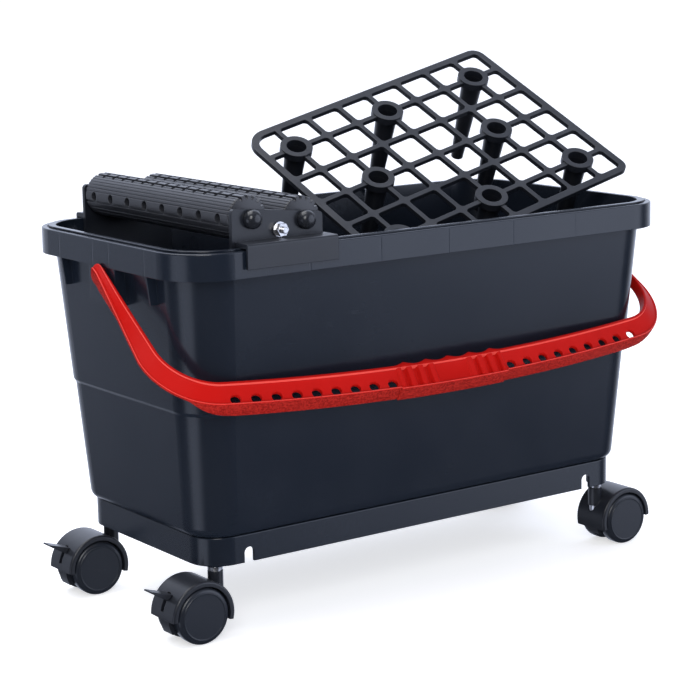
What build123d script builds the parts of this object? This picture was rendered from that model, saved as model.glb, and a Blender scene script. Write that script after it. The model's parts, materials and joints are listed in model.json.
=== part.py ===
"""Rolling wash bucket for cleaning grout: tub, wheeled base, bail, roller wringer and grid.

Millimetres. Z is up from the floor, X runs along the tub, and the bail hangs over the -Y side.
"""

import os
from math import cos, radians, sin

from build123d import *

os.makedirs("parts", exist_ok=True)

# shared clearances
running_gap = 0.05  # radial, between a turning shaft and its bore
seat_gap = 0.3  # between pieces that rest against each other
touch_gap = 0.05  # between clamped faces
bolt_gap = 0.2  # radial, round a bolt in its hole
cut_over = 1.0  # how far a cut runs past the face it opens
pick = 0.01  # height band for finding an edge

# tub rim
rim_l = 540.0
rim_w = 283.0
rim_r = 47.0
rim_top_z = 340.0
band_h = 23.0
band_t = 3.0
flange_t = 3.0
rim_edge_r = 1.2
lip_in = 6.3  # from the rim's outer face to the raised lip
lip_h = 1.6
lip_edge_r = 0.6
groove_w = 1.4
groove_d = 1.0
rim_bottom_z = rim_top_z - band_h
lip_top_z = rim_top_z + lip_h

# tub wall
overhang = 10.3  # rim beyond the wall, at the foot of the band
wall_t = 3.0
body_l = rim_l - 2 * overhang
body_w = rim_w - 2 * overhang
body_r = rim_r - 5.0
draft_x = 0.0696  # wall slope on the short ends
draft_y = 0.0842  # wall slope on the long sides
draft_r = 0.026
step_z = 201.0  # the wall steps in below this height
step_in = 1.8
step_h = 3.0
tub_bottom_z = 88.5
tub_floor_t = 3.5
tub_bottom_r = 9.0
tub_floor_r = 7.0

# ribs under the rim
rib_t = 2.4
rib_pitch = 74.0
rib_count = 5
rib_lift = 0.5  # foot of a rib over the foot of the band
fin_y = 74.0
fin_drop = 25.0
fin_back = 2.0  # foot of a fin behind the band
boss_w = 44.0
boss_drop = 31.0

# wheeled base
base_in_x = 5.5  # skirt behind the foot of the tub wall
base_in_y = 4.15
base_r = 28.0
base_t = 3.0
base_edge_r = 1.0
base_bottom_z = 63.5
base_h = tub_bottom_z - base_bottom_z
base_deck = 30.0
base_window_r = 12.0
base_windows = 3
base_rib_h = 15.0
notch_end = 42.5  # from the end of the skirt
notch_w = 10.0
notch_h = 13.5
socket_r = 9.0
socket_nose_r = 7.0
socket_nose = 1.8  # below the skirt

# bail
bail_deg = 35.3  # how far below level the bail hangs
pivot_z = rim_bottom_z - 6.5
pin_r = 6.0
pin_depth = 12.0
pin_end_gap = 0.5
hub_r = 9.2
arm_gap = 1.2  # between the rim and the arms
arm_w = 15.8
arm_end_w = 3.6
arm_taper = 107.0  # length over which the arms thin out to their ends
arm_solid = 27.6  # solid part of the arms, from the pivot axis
span_w = 20.0
bow_out = 22.0  # how far the span's edges fall back at the arms
bow_in = 18.9
bail_corner_r = 46.0  # inner corners
bail_top = 9.5  # inner edge over the pivot plane
bail_drop = 7.5  # from the inner edge down to the outer one
bail_ridge = 2.6
bail_depth = 13.0
arm_depth = 1.4
arm_hub_depth = 7.6  # next to the hubs
arm_hub_y = 12.0  # from the pivot axis, where the arms start to thin out below
arm_flat_y = 55.0  # from the pivot axis, where they are flat below
arm_shallow = 158.0  # from the pivot axis to where the walls start to deepen
arm_deep = 171.5  # from the pivot axis to where they reach the span's depth
bail_wall_t = 3.0
bail_web_t = 3.5
rest_relief = 1.5  # inner wall below the pivot plane, where it rests on the tub
rest_end = 26.2  # from the arms
rest_band = 8.0
hole_half_l = 5.2
hole_half_w = 3.9
hole_count = 9
hole_start = 6.0  # from the end of the grip
hole_pitch = 19.5
hole_in = 5.2  # from the outer edge
grip_half = 61.0
grip_bulge = 1.5
grip_bulge_w = 9.5
grip_corner_r = 2.0
finger_count = 5
finger_r = 8.0
finger_out = 3.5

# roller wringer
wringer_x0 = -rim_l / 2 + 54.0
wringer_l = 91.5
bracket_t = 4.0
bracket_corner_r = 4.0
bracket_foot_z = rim_bottom_z - 15.0
bracket_rise_high = 32.0  # plate top over the lip, at the outer end
bracket_rise_low = 22.4
shelf_t = 4.0
hook_out = 4.0  # hook beyond the rim
hook_shift = 3.0  # hook along the rim, against the plate
hook_t = 2.5
hook_edge_r = 2.4
hook_drop = 17.2
roller_r = 19.5
roller_edge_r = 1.5
roller_gap = 1.4  # between a roller's end and the bracket
roller_x = (wringer_x0 + 19.5, wringer_x0 + 73.5)
roller_rise = (21.9, 16.9)
roller_axle_r = 5.0
axle_stub = 5.0  # axle beyond the bracket
axle_chamfer = 0.6
ring_cut_count = 13
ring_cut_w = 1.4
ring_cut_d = 1.0
flute_count = 18
flute_w = 1.5
flute_d = 1.0
flute_turn = 10.0
drain_r = 4.2
drain_count = 8
drain_end = 16.2  # from the end of the roller
drain_wall = 2.0  # left round the axle
cap_r = 8.3
cap_h = 9.0
cap_dome_r = 6.6
tie_x = wringer_x0 + 47.0
tie_rise = 11.0
tie_r = 3.0
tie_chamfer = 0.7
washer_r = 6.5
washer_t = 1.5
nut_flats = 10.0
nut_t = 5.0
tie_stub = 3.5

# lift-out grid, leaning out of the tub
grid_centre = (rim_l / 2 - 162.4, rim_w / 2 - 132.4, rim_top_z + 46.9)
grid_along = (0.971, 0.035, 0.235)
grid_up = (-0.186, -0.506, 0.842)
grid_pitch = 38.2
grid_edge_cell = 0.85  # the outer cells against the inner ones
grid_bar = 4.8
grid_border = 2.4  # border wider than a bar, outward
grid_h = 4.4
cell_r = 4.0
grid_big_r = 24.0
grid_small_r = 12.0
collar_r = 15.6
collar_up = 1.0
collar_h = 7.0
leg_len = 100.0
leg_top_r = 10.6
leg_foot_r = 6.2
leg_wall = 1.0
leg_foot_t = 3.0
leg_nodes = ((1, 1), (4, 1), (7, 1), (2, 3), (6, 3), (1, 5), (4, 5), (7, 5))

# casters
caster_in_x = 16.5  # stem from the end of the skirt
caster_in_y = 15.0
wheel_r = 25.0
wheel_face = 20.5  # outer face of a wheel from the middle of its caster
wheel_w = 12.7
wheel_edge_r = 2.5
wheel_web_t = 2.2  # outer wall of a wheel, over the end of the axle
wheel_side_gap = 0.5
trail = 24.0
caster_axle_r = 4.0
hood_gap = 1.2  # round the wheels
hood_t = 4.7
hood_set_in = 1.0  # behind the wheel faces
hood_edge_r = 2.0
hood_foot = 4.0  # below the axle
hood_foot_deg = 7.0
carrier_foot = 14.0  # below the axle
neck_r = 6.8
neck_foot = 15.0  # above the axle
neck_gap = 1.1  # between the neck and the ring on the stem
stem_r = 5.5
stem_foot = 6.0  # above the axle
stem_top_gap = 1.0
stem_ring_r = 6.8
stem_ring_t = 2.4
stem_ring_gap = 0.6  # between the ring and the socket
lever_at = 1.6  # pivot outside the hood's inner face
lever_at_deg = 37.7
lever_gap = 0.8  # round the barrel
lever_side_gap = 0.4
lever_clear = 0.4  # between the pad and the hood, also when pressed
lever_press_deg = 20.0
lever_slot_l = 30.0
lever_slot_w = 22.0
lever_barrel_r = 3.2
lever_web_half = 2.0
lever_half = 6.4
lever_pin_r = 1.7
lever_pin_l = 2.6
lever_root_t = 7.0
lever_tip_t = 1.4
lever_len = 23.4
lever_deg = 24.3


def wall_outline(z, inset=0.0):
    """Length, width and corner radius of the tub wall at height z, moved in by inset."""
    up = z - rim_bottom_z
    length = body_l + 2 * draft_x * up - 2 * inset
    width = body_w + 2 * draft_y * up - 2 * inset
    radius = body_r + draft_r * up - inset
    return length, width, radius


# Tub: rim first, then the tapered wall with its mid-height step, then the hollow.
step_foot_z = step_z - step_h
floor_z = tub_bottom_z + tub_floor_t
wall_in_x = wall_outline(rim_bottom_z, wall_t)[0] / 2
wall_in_y = wall_outline(rim_bottom_z, wall_t)[1] / 2

with BuildPart() as tub:
    with BuildSketch(Plane.XY.offset(rim_bottom_z)):
        RectangleRounded(rim_l, rim_w, rim_r)
    extrude(amount=band_h)
    fillet(tub.faces().sort_by(Axis.Z)[-1].edges(), radius=rim_edge_r)
    with BuildSketch(Plane.XY.offset(rim_bottom_z)):
        RectangleRounded(rim_l - 2 * band_t, rim_w - 2 * band_t, rim_r - band_t)
    extrude(amount=band_h - flange_t, mode=Mode.SUBTRACT)

    # raised lip with a groove on its outer side
    with BuildSketch(Plane.XY.offset(rim_top_z)):
        RectangleRounded(rim_l - 2 * lip_in, rim_w - 2 * lip_in, rim_r - lip_in)
    extrude(amount=lip_h)
    groove_in = lip_in - groove_w
    with BuildSketch(Plane.XY.offset(rim_top_z)):
        RectangleRounded(rim_l - 2 * groove_in, rim_w - 2 * groove_in, rim_r - groove_in)
        RectangleRounded(rim_l - 2 * lip_in, rim_w - 2 * lip_in, rim_r - lip_in, mode=Mode.SUBTRACT)
    extrude(amount=-groove_d, mode=Mode.SUBTRACT)

    # wall above the step, the sloping step, and the wall below it
    for low_z, low_in, high_z, high_in in (
        (step_z, 0.0, rim_top_z - flange_t / 2, 0.0),
        (step_foot_z, step_in, step_z, 0.0),
        (tub_bottom_z, step_in, step_foot_z, step_in),
    ):
        with BuildSketch(Plane.XY.offset(low_z)):
            RectangleRounded(*wall_outline(low_z, low_in))
        with BuildSketch(Plane.XY.offset(high_z)):
            RectangleRounded(*wall_outline(high_z, high_in))
        loft()
    fillet(tub.faces().sort_by(Axis.Z)[0].edges(), radius=tub_bottom_r)

    # ribs that tie the band to the wall along both long sides
    rib_top_z = rim_top_z - flange_t / 2
    rib_h = rib_top_z - rim_bottom_z - rib_lift
    rib_y = (wall_in_y + rim_w / 2 - band_t / 2) / 2
    rib_depth = rim_w / 2 - band_t / 2 - wall_in_y
    with Locations((0, rib_y, rib_top_z), (0, -rib_y, rib_top_z)):
        with GridLocations(rib_pitch, 1, rib_count, 1):
            Box(rib_t, rib_depth, rib_h, align=(Align.CENTER, Align.CENTER, Align.MAX))

    # fins that drop below the band on the short ends, and the pivot bosses between them
    fin_foot_z = rim_bottom_z - fin_drop
    fin_in = wall_outline(fin_foot_z, wall_t)[0] / 2
    for side in (1, -1):
        for fin_at in (fin_y, -fin_y):
            with BuildSketch(Plane.XZ.offset(fin_at)):
                Polygon(
                    (side * fin_in, fin_foot_z),
                    (side * (rim_l / 2 - band_t - fin_back), fin_foot_z),
                    (side * (rim_l / 2 - band_t / 2), rim_bottom_z),
                    (side * (rim_l / 2 - band_t / 2), rib_top_z),
                    (side * fin_in, rib_top_z),
                    align=None,
                )
            extrude(amount=rib_t / 2, both=True)
        with BuildSketch(Plane.YZ.offset(side * wall_in_x)):
            with Locations((0, rib_top_z)):
                Rectangle(boss_w, band_h + boss_drop, align=(Align.CENTER, Align.MAX))
        extrude(amount=side * (rim_l / 2 - wall_in_x - rim_edge_r))

    # hollow, with the same step inside
    for low_z, low_in, high_z, high_in in (
        (step_z, 0.0, lip_top_z + cut_over, 0.0),
        (step_foot_z, step_in, step_z, 0.0),
        (floor_z, step_in, step_foot_z, step_in),
    ):
        with BuildSketch(Plane.XY.offset(low_z)):
            RectangleRounded(*wall_outline(low_z, low_in + wall_t))
        with BuildSketch(Plane.XY.offset(high_z)):
            RectangleRounded(*wall_outline(high_z, high_in + wall_t))
        loft(mode=Mode.SUBTRACT)
    floor_edges = tub.edges().filter_by_position(Axis.Z, floor_z - pick, floor_z + pick)
    fillet(floor_edges, radius=tub_floor_r)
    fillet(tub.faces().sort_by(Axis.Z)[-1].edges(), radius=lip_edge_r)

    # bores for the bail's pins
    for side in (1, -1):
        with BuildSketch(Plane.YZ.offset(side * rim_l / 2)):
            with Locations((0, pivot_z)):
                Circle(pin_r + running_gap)
        extrude(amount=-side * (pin_depth + pin_end_gap), mode=Mode.SUBTRACT)
tub.part.label = "tub"
export_step(tub.part, "parts/tub.step")

# Base: an open skirt under the tub, with a deck, cross ribs, caster sockets and notches.
base_l = wall_outline(tub_bottom_z, step_in)[0] - 2 * base_in_x
base_w = wall_outline(tub_bottom_z, step_in)[1] - 2 * base_in_y
caster_x = base_l / 2 - caster_in_x
caster_y = base_w / 2 - caster_in_y
notch_x = base_l / 2 - notch_end
window_pitch = (base_l - base_deck) / base_windows
caster_points = [(sx * caster_x, sy * caster_y) for sx in (-1, 1) for sy in (-1, 1)]

with BuildPart() as base_frame:
    with BuildSketch(Plane.XY.offset(base_bottom_z)):
        RectangleRounded(base_l, base_w, base_r)
    extrude(amount=base_h)
    fillet(base_frame.faces().sort_by(Axis.Z)[-1].edges(), radius=base_edge_r)
    with BuildSketch(Plane.XY.offset(base_bottom_z)):
        RectangleRounded(base_l - 2 * base_t, base_w - 2 * base_t, base_r - base_t)
    extrude(amount=base_h - base_t, mode=Mode.SUBTRACT)
    with BuildSketch(Plane.XY.offset(base_bottom_z)):
        with GridLocations(window_pitch, 1, base_windows, 1):
            RectangleRounded(window_pitch - base_deck, base_w - 2 * base_deck, base_window_r)
    extrude(amount=base_h, mode=Mode.SUBTRACT)
    with Locations((0, 0, tub_bottom_z - base_t / 2)):
        with GridLocations(window_pitch, 1, base_windows - 1, 1):
            Box(base_t, base_w - base_t, base_rib_h, align=(Align.CENTER, Align.CENTER, Align.MAX))
    with BuildSketch(Plane.XY.offset(base_bottom_z)):
        with Locations(*caster_points):
            Circle(socket_r)
    extrude(amount=base_h - base_t / 2)
    with BuildSketch(Plane.XY.offset(base_bottom_z)):
        with Locations(*caster_points):
            Circle(socket_nose_r)
    extrude(amount=-socket_nose)
    with BuildSketch(Plane.XY.offset(base_bottom_z - socket_nose)):
        with Locations(*caster_points):
            Circle(stem_r + running_gap)
    extrude(amount=socket_nose + base_h - base_t, mode=Mode.SUBTRACT)
    for side in (1, -1):
        with BuildSketch(Plane.XZ.offset(side * (base_w / 2 + cut_over))):
            with Locations((notch_x, base_bottom_z), (-notch_x, base_bottom_z)):
                SlotOverall(2 * notch_h, notch_w, rotation=90)
        extrude(amount=-side * (base_t + 2 * cut_over), mode=Mode.SUBTRACT)
base_frame.part.label = "base_frame"
export_step(base_frame.part, "parts/base_frame.step")

# Bail: one moulding in its own plane, sloping from a high inner edge to a lower outer one.
bail_a = radians(bail_deg)
bail_plane = Plane(
    origin=(0, 0, pivot_z),
    x_dir=(1, 0, 0),
    z_dir=(0, -sin(bail_a), cos(bail_a)),
)
bail_foot = bail_plane.offset(-bail_depth)
bail_side = Plane(origin=bail_plane.origin, x_dir=bail_plane.y_dir, z_dir=bail_plane.x_dir)
bail_outer = bail_top - bail_drop
arm_in_x = rim_l / 2 + arm_gap
arm_out_x = arm_in_x + arm_w
rest_x = body_l / 2 - body_r  # the bail rests where the flat of the tub wall ends
rest_low = rim_bottom_z - pivot_z + rest_relief * cos(bail_a)
rest_reach = body_w / 2 + seat_gap - draft_y * rest_low + rest_relief * sin(bail_a)
rest_r = rest_reach / (cos(bail_a) + draft_y * sin(bail_a))
span_in_r = rest_r + bow_in * (rest_x / arm_in_x) ** 2
span_out_r = span_in_r + span_w
bail_out_corner_r = bail_corner_r + arm_w


def bail_loop(half, reach, bow, corner_r):
    """A closed loop in the bail's plane: two straight arms, rounded corners and a bowed span."""
    with BuildSketch() as loop:
        with BuildLine():
            Line((half, 0), (-half, 0))
            Line((-half, 0), (-half, bow - reach))
            ThreePointArc((-half, bow - reach), (0, -reach), (half, bow - reach))
            Line((half, bow - reach), (half, 0))
        make_face()
        fillet(loop.vertices().group_by(Axis.Y)[0], radius=corner_r)
    return loop.sketch


def outer_loop(inset):
    return bail_loop(arm_out_x - inset, span_out_r - inset, bow_out, bail_out_corner_r - inset)


def inner_loop(outset):
    return bail_loop(arm_in_x + outset, span_in_r + outset, bow_in, bail_corner_r + outset)


with BuildPart() as handle:
    with BuildSketch(bail_foot):
        add(outer_loop(0.0))
    extrude(amount=bail_depth + bail_top)
    bail_face = handle.faces().sort_by(Axis(bail_plane.origin, bail_plane.z_dir))[-1]
    bail_rim = [e for e in bail_face.edges() if abs(bail_plane.to_local_coords(e.center()).Y) > pick]
    chamfer(bail_rim, length=arm_w - bail_ridge, length2=bail_drop, reference=bail_face)
    with BuildSketch(bail_foot):
        add(inner_loop(0.0))
    extrude(amount=bail_depth + bail_top, mode=Mode.SUBTRACT)

    # grip: bulged outer edge, and finger waves on the inner one
    with BuildSketch(bail_foot):
        with Locations((0, -span_out_r - grip_bulge)):
            RectangleRounded(2 * grip_half, grip_bulge_w, grip_corner_r, align=(Align.CENTER, Align.MIN))
    extrude(amount=bail_depth + bail_outer)
    with BuildSketch(bail_plane.offset(-rest_relief)):
        with Locations((0, -span_in_r + finger_out - finger_r)):
            with GridLocations(2 * grip_half / finger_count, 1, finger_count, 1):
                Circle(finger_r)
        add(inner_loop(0.0), mode=Mode.INTERSECT)
    extrude(amount=rest_relief + bail_top)

    # hollow underneath, and a lower inner wall where the bail rests on the tub
    with BuildSketch(bail_foot):
        add(outer_loop(bail_wall_t))
        add(inner_loop(bail_wall_t), mode=Mode.SUBTRACT)
        Rectangle(2 * grip_half, 4 * span_out_r, mode=Mode.SUBTRACT)
        Rectangle(4 * arm_out_x, 2 * arm_solid, mode=Mode.SUBTRACT)
    extrude(amount=bail_depth + bail_outer - bail_web_t, mode=Mode.SUBTRACT)
    with BuildSketch(bail_foot):
        Rectangle(2 * (arm_in_x - rest_end), 4 * span_out_r)
        add(inner_loop(rest_band), mode=Mode.INTERSECT)
    extrude(amount=bail_depth - rest_relief, mode=Mode.SUBTRACT)

    # arms are flat below, and thin out towards the pivots
    with BuildSketch(bail_foot):
        for side in (1, -1):
            Polygon(
                (side * (arm_in_x + arm_end_w), hub_r),
                (side * (arm_in_x + arm_end_w), 0),
                (side * arm_out_x, -arm_taper),
                (side * (arm_out_x + arm_w), -arm_taper),
                (side * (arm_out_x + arm_w), hub_r),
                align=None,
            )
    extrude(amount=bail_depth + bail_top, mode=Mode.SUBTRACT)

    with BuildSketch(bail_side):
        Polygon(
            (hub_r, -bail_depth - cut_over),
            (hub_r, -arm_hub_depth),
            (-arm_hub_y, -arm_hub_depth),
            (-arm_flat_y, -arm_depth),
            (-arm_shallow, -arm_depth),
            (-arm_deep, -bail_depth),
            (-arm_deep, -bail_depth - cut_over),
            align=None,
        )
    extrude(amount=arm_out_x + cut_over, both=True, mode=Mode.SUBTRACT)

    # a row of holes each side of the grip
    with BuildSketch(bail_foot):
        for k in range(hole_count):
            hole_x = grip_half + hole_start + k * hole_pitch
            hole_y = -span_out_r + hole_in + bow_out * (hole_x / arm_out_x) ** 2
            with Locations((hole_x, hole_y), (-hole_x, hole_y)):
                Ellipse(hole_half_l, hole_half_w)
    extrude(amount=bail_depth + bail_top, mode=Mode.SUBTRACT)

    # hubs and pins
    for side in (1, -1):
        with BuildSketch(Plane.YZ.offset(side * arm_in_x)):
            with Locations((0, pivot_z)):
                Circle(hub_r)
        extrude(amount=side * arm_end_w)
        with BuildSketch(Plane.YZ.offset(side * (rim_l / 2 - pin_depth))):
            with Locations((0, pivot_z)):
                Circle(pin_r)
        extrude(amount=side * (pin_depth + arm_gap + arm_end_w / 2))

# The moulding is kept as its span with both corners, and its two straight arms with their hubs and pins.
arm_end_y = inner_loop(0.0).edges().filter_by(Axis.Y).vertices().sort_by(Axis.Y)[0].Y
arm_end = Plane(origin=bail_plane.from_local_coords((0, arm_end_y, 0)), x_dir=(1, 0, 0), z_dir=bail_plane.y_dir)
with BuildPart() as handle_arms:
    add(handle.part)
    split(bisect_by=arm_end, keep=Keep.TOP)
handle_arms.part.label = "handle_arms"
export_step(handle_arms.part, "parts/handle_arms.step")
with BuildPart() as handle_span:
    add(handle.part)
    split(bisect_by=arm_end, keep=Keep.BOTTOM)
handle_span.part.label = "handle"
export_step(handle_span.part, "parts/handle.step")

# Wringer brackets: a plate inside the wall that carries the axles, hooked over the rim.
bracket_face_y = wall_outline(bracket_foot_z, wall_t)[1] / 2 - seat_gap
bracket_in_y = bracket_face_y - bracket_t
shelf_z = lip_top_z + 2 * touch_gap
shelf_top_z = shelf_z + shelf_t
hook_y = rim_w / 2 + hook_out
wringer_x1 = wringer_x0 + wringer_l
axle_points = [(x, shelf_z + rise) for x, rise in zip(roller_x, roller_rise)]
tie_z = shelf_z + tie_rise

with BuildPart() as bracket_front:
    with BuildSketch(Plane.XZ.offset(bracket_in_y)) as plate:
        Polygon(
            (wringer_x0, bracket_foot_z),
            (wringer_x1, bracket_foot_z),
            (wringer_x1, shelf_z + bracket_rise_low),
            (wringer_x0, shelf_z + bracket_rise_high),
            align=None,
        )
        fillet(plate.vertices(), radius=bracket_corner_r)
    extrude(amount=bracket_t)
    hook_mid = (wringer_x0 + wringer_x1) / 2 + hook_shift
    with Locations((hook_mid, -hook_y, shelf_z)):
        Box(
            wringer_l,
            hook_y - bracket_in_y - bracket_t / 2,
            shelf_t,
            align=(Align.CENTER, Align.MIN, Align.MIN),
        )
    with Locations((hook_mid, -hook_y, shelf_top_z)):
        Box(wringer_l, hook_t, shelf_t + hook_drop, align=(Align.CENTER, Align.MIN, Align.MAX))
    hook_edges = bracket_front.edges().filter_by(Axis.X).sort_by_distance((hook_mid, -hook_y, shelf_top_z))
    fillet(hook_edges[0], radius=hook_edge_r)
    with BuildSketch(Plane.XZ.offset(bracket_in_y)):
        with Locations(*axle_points):
            Circle(roller_axle_r + running_gap)
        with Locations((tie_x, tie_z)):
            Circle(tie_r + bolt_gap)
    extrude(amount=bracket_t, mode=Mode.SUBTRACT)
bracket_front.part.label = "wringer_bracket_front"
export_step(bracket_front.part, "parts/wringer_bracket_front.step")

with BuildPart() as bracket_rear:
    add(mirror(bracket_front.part, about=Plane.XZ))
bracket_rear.part.label = "wringer_bracket_rear"
export_step(bracket_rear.part, "parts/wringer_bracket_rear.step")

# Rollers: ribbed sleeves that turn on steel rods held in the brackets.
roller_half = bracket_in_y - roller_gap
axle_half = bracket_face_y + axle_stub


def make_roller(at_x, at_z, name):
    """One roller with ring cuts, lengthwise flutes and rows of drain holes."""
    ring_pitch = 2 * roller_half / (ring_cut_count + 1)
    drain_pitch = 2 * (roller_half - drain_end) / (drain_count - 1)
    with BuildPart() as roller:
        with BuildSketch(Plane.XZ.offset(-roller_half)):
            with Locations((at_x, at_z)):
                Circle(roller_r)
        extrude(amount=2 * roller_half)
        fillet(roller.edges().filter_by(GeomType.CIRCLE), radius=roller_edge_r)
        for k in range(ring_cut_count):
            cut_y = -roller_half + (k + 1) * ring_pitch
            with BuildSketch(Plane.XZ.offset(-cut_y - ring_cut_w / 2)):
                with Locations((at_x, at_z)):
                    Circle(roller_r + cut_over)
                    Circle(roller_r - ring_cut_d, mode=Mode.SUBTRACT)
            extrude(amount=ring_cut_w, mode=Mode.SUBTRACT)
        with BuildSketch(Plane.XZ.offset(-roller_half)):
            with Locations((at_x, at_z)):
                with PolarLocations(roller_r, flute_count, start_angle=flute_turn):
                    Rectangle(2 * flute_d, flute_w)
        extrude(amount=2 * roller_half, mode=Mode.SUBTRACT)
        with BuildSketch(Plane.YZ.offset(at_x - roller_r)):
            with Locations((0, at_z)):
                with GridLocations(drain_pitch, 1, drain_count, 1):
                    Circle(drain_r)
        extrude(amount=roller_r - roller_axle_r - drain_wall, mode=Mode.SUBTRACT)
        with BuildSketch(Plane.XZ.offset(-roller_half)):
            with Locations((at_x, at_z)):
                Circle(roller_axle_r + running_gap)
        extrude(amount=2 * roller_half, mode=Mode.SUBTRACT)
    roller.part.label = name
    export_step(roller.part, "parts/" + name + ".step")


for (at_x, at_z), where in zip(axle_points, ("outer", "inner")):
    make_roller(at_x, at_z, "roller_" + where)
    with BuildPart() as axle:
        with BuildSketch(Plane.XZ.offset(-axle_half)):
            with Locations((at_x, at_z)):
                Circle(roller_axle_r)
        extrude(amount=2 * axle_half)
        chamfer(axle.edges().filter_by(GeomType.CIRCLE), length=axle_chamfer)
    axle.part.label = "roller_axle_" + where
    export_step(axle.part, "parts/roller_axle_" + where + ".step")

# Domed caps over the four axle ends.
cap_y = bracket_face_y + 2 * touch_gap

with BuildPart() as axle_caps:
    for side in (1, -1):
        with BuildSketch(Plane.XZ.offset(side * cap_y)):
            with Locations(*axle_points):
                Circle(cap_r)
        extrude(amount=side * cap_h)
    dome_edges = axle_caps.edges().filter_by(GeomType.CIRCLE)
    dome_edges = [e for e in dome_edges if abs(e.center().Y) > bracket_face_y + cap_h / 2]
    fillet(dome_edges, radius=cap_dome_r)
    for side in (1, -1):
        with BuildSketch(Plane.XZ.offset(side * cap_y)):
            with Locations(*axle_points):
                Circle(roller_axle_r + running_gap)
        extrude(amount=side * (axle_half - bracket_face_y), mode=Mode.SUBTRACT)
axle_caps.part.label = "axle_caps"
export_step(axle_caps.part, "parts/axle_caps.step")

# Tie rod between the rollers, with a washer and a nut outside each bracket.
washer_y = bracket_face_y + touch_gap
nut_y = washer_y + washer_t + touch_gap
tie_half = nut_y + nut_t + tie_stub

with BuildPart() as tie_rod:
    with BuildSketch(Plane.XZ.offset(-tie_half)):
        with Locations((tie_x, tie_z)):
            Circle(tie_r)
    extrude(amount=2 * tie_half)
    chamfer(tie_rod.edges().filter_by(GeomType.CIRCLE), length=tie_chamfer)
tie_rod.part.label = "tie_rod"
export_step(tie_rod.part, "parts/tie_rod.step")

with BuildPart() as tie_washers:
    for side in (1, -1):
        with BuildSketch(Plane.XZ.offset(side * washer_y)):
            with Locations((tie_x, tie_z)):
                Circle(washer_r)
                Circle(tie_r + bolt_gap, mode=Mode.SUBTRACT)
        extrude(amount=side * washer_t)
tie_washers.part.label = "tie_washers"
export_step(tie_washers.part, "parts/tie_washers.step")

with BuildPart() as tie_nuts:
    for side in (1, -1):
        with BuildSketch(Plane.XZ.offset(side * nut_y)):
            with Locations((tie_x, tie_z)):
                RegularPolygon(nut_flats / 2, 6, major_radius=False)
                Circle(tie_r + running_gap, mode=Mode.SUBTRACT)
        extrude(amount=side * nut_t)
tie_nuts.part.label = "tie_nuts"
export_step(tie_nuts.part, "parts/tie_nuts.step")

# Grid: a flat lattice with collars, and the tapered hollow legs under it.
grid_plane = Plane(origin=grid_centre, x_dir=grid_along, z_dir=grid_up)
grid_edge = grid_bar / 2 + grid_border
half_l = (3 + grid_edge_cell) * grid_pitch
half_w = (2 + grid_edge_cell) * grid_pitch
grid_x = [-half_l] + [k * grid_pitch for k in range(-3, 4)] + [half_l]
grid_y = [half_w] + [k * grid_pitch for k in range(2, -3, -1)] + [-half_w]

with BuildPart() as grid:
    with BuildSketch(grid_plane.offset(-grid_h)) as lattice:
        Rectangle(2 * (half_l + grid_edge), 2 * (half_w + grid_edge))
        fillet(lattice.vertices().group_by(Axis.X)[0], radius=grid_big_r)
        fillet(lattice.vertices().sort_by(Axis.X)[-2:], radius=grid_small_r)
    extrude(amount=grid_h)
    for i in range(len(grid_x) - 1):
        for j in range(len(grid_y) - 1):
            cell_l = grid_x[i + 1] - grid_x[i] - grid_bar
            cell_w = grid_y[j] - grid_y[j + 1] - grid_bar
            mid = ((grid_x[i] + grid_x[i + 1]) / 2, (grid_y[j] + grid_y[j + 1]) / 2)
            with BuildSketch(grid_plane.offset(-grid_h)) as cell:
                with Locations(mid):
                    Rectangle(cell_l, cell_w)
                plain = cell.vertices()
                if i == 0 and j in (0, len(grid_y) - 2):
                    plain = plain.sort_by_distance((-2 * half_l, 2 * grid_y[j], 0))
                    fillet(plain[0], radius=grid_big_r - grid_edge - grid_bar / 2)
                    plain = plain[1:]
                fillet(plain, radius=cell_r)
            extrude(amount=grid_h, mode=Mode.SUBTRACT)
    leg_spots = [(grid_x[i], grid_y[j]) for i, j in leg_nodes]
    with BuildSketch(grid_plane.offset(collar_up)):
        with Locations(*leg_spots):
            Circle(collar_r)
    extrude(amount=-collar_h)
    with BuildSketch(grid_plane.offset(collar_up)):
        with Locations(*leg_spots):
            Circle(leg_top_r - leg_wall)
    extrude(amount=-collar_h, mode=Mode.SUBTRACT)
grid.part.label = "grid"
export_step(grid.part, "parts/grid.step")

leg_top = collar_up - collar_h
with BuildPart() as grid_legs:
    for spot in leg_spots:
        for top_r, foot_r, foot, mode in (
            (leg_top_r, leg_foot_r, -leg_len, Mode.ADD),
            (leg_top_r - leg_wall, leg_foot_r - leg_wall, -leg_len + leg_foot_t, Mode.SUBTRACT),
        ):
            with BuildSketch(grid_plane.offset(leg_top)):
                with Locations(spot):
                    Circle(top_r)
            with BuildSketch(grid_plane.offset(foot)):
                with Locations(spot):
                    Circle(foot_r)
            loft(mode=mode)
grid_legs.part.label = "grid_legs"
export_step(grid_legs.part, "parts/grid_legs.step")


# Casters: each has a stem that turns in the base, a hooded carrier, an axle and two wheels.
wheel_in = wheel_face - wheel_w
carrier_half = wheel_in - wheel_side_gap
hood_half = wheel_face - hood_set_in
hood_in_r = wheel_r + hood_gap
hood_out_r = hood_in_r + hood_t
hood_foot_z = wheel_r - hood_foot
carrier_foot_z = wheel_r - carrier_foot
neck_foot_z = wheel_r + neck_foot
stem_foot_z = wheel_r + stem_foot
stem_ring_z = base_bottom_z - socket_nose - stem_ring_gap - stem_ring_t
neck_top_z = stem_ring_z - neck_gap
lever_pivot_r = hood_in_r + lever_at
lever_pivot_a = radians(lever_at_deg)
lever_a = radians(lever_deg)


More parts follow.
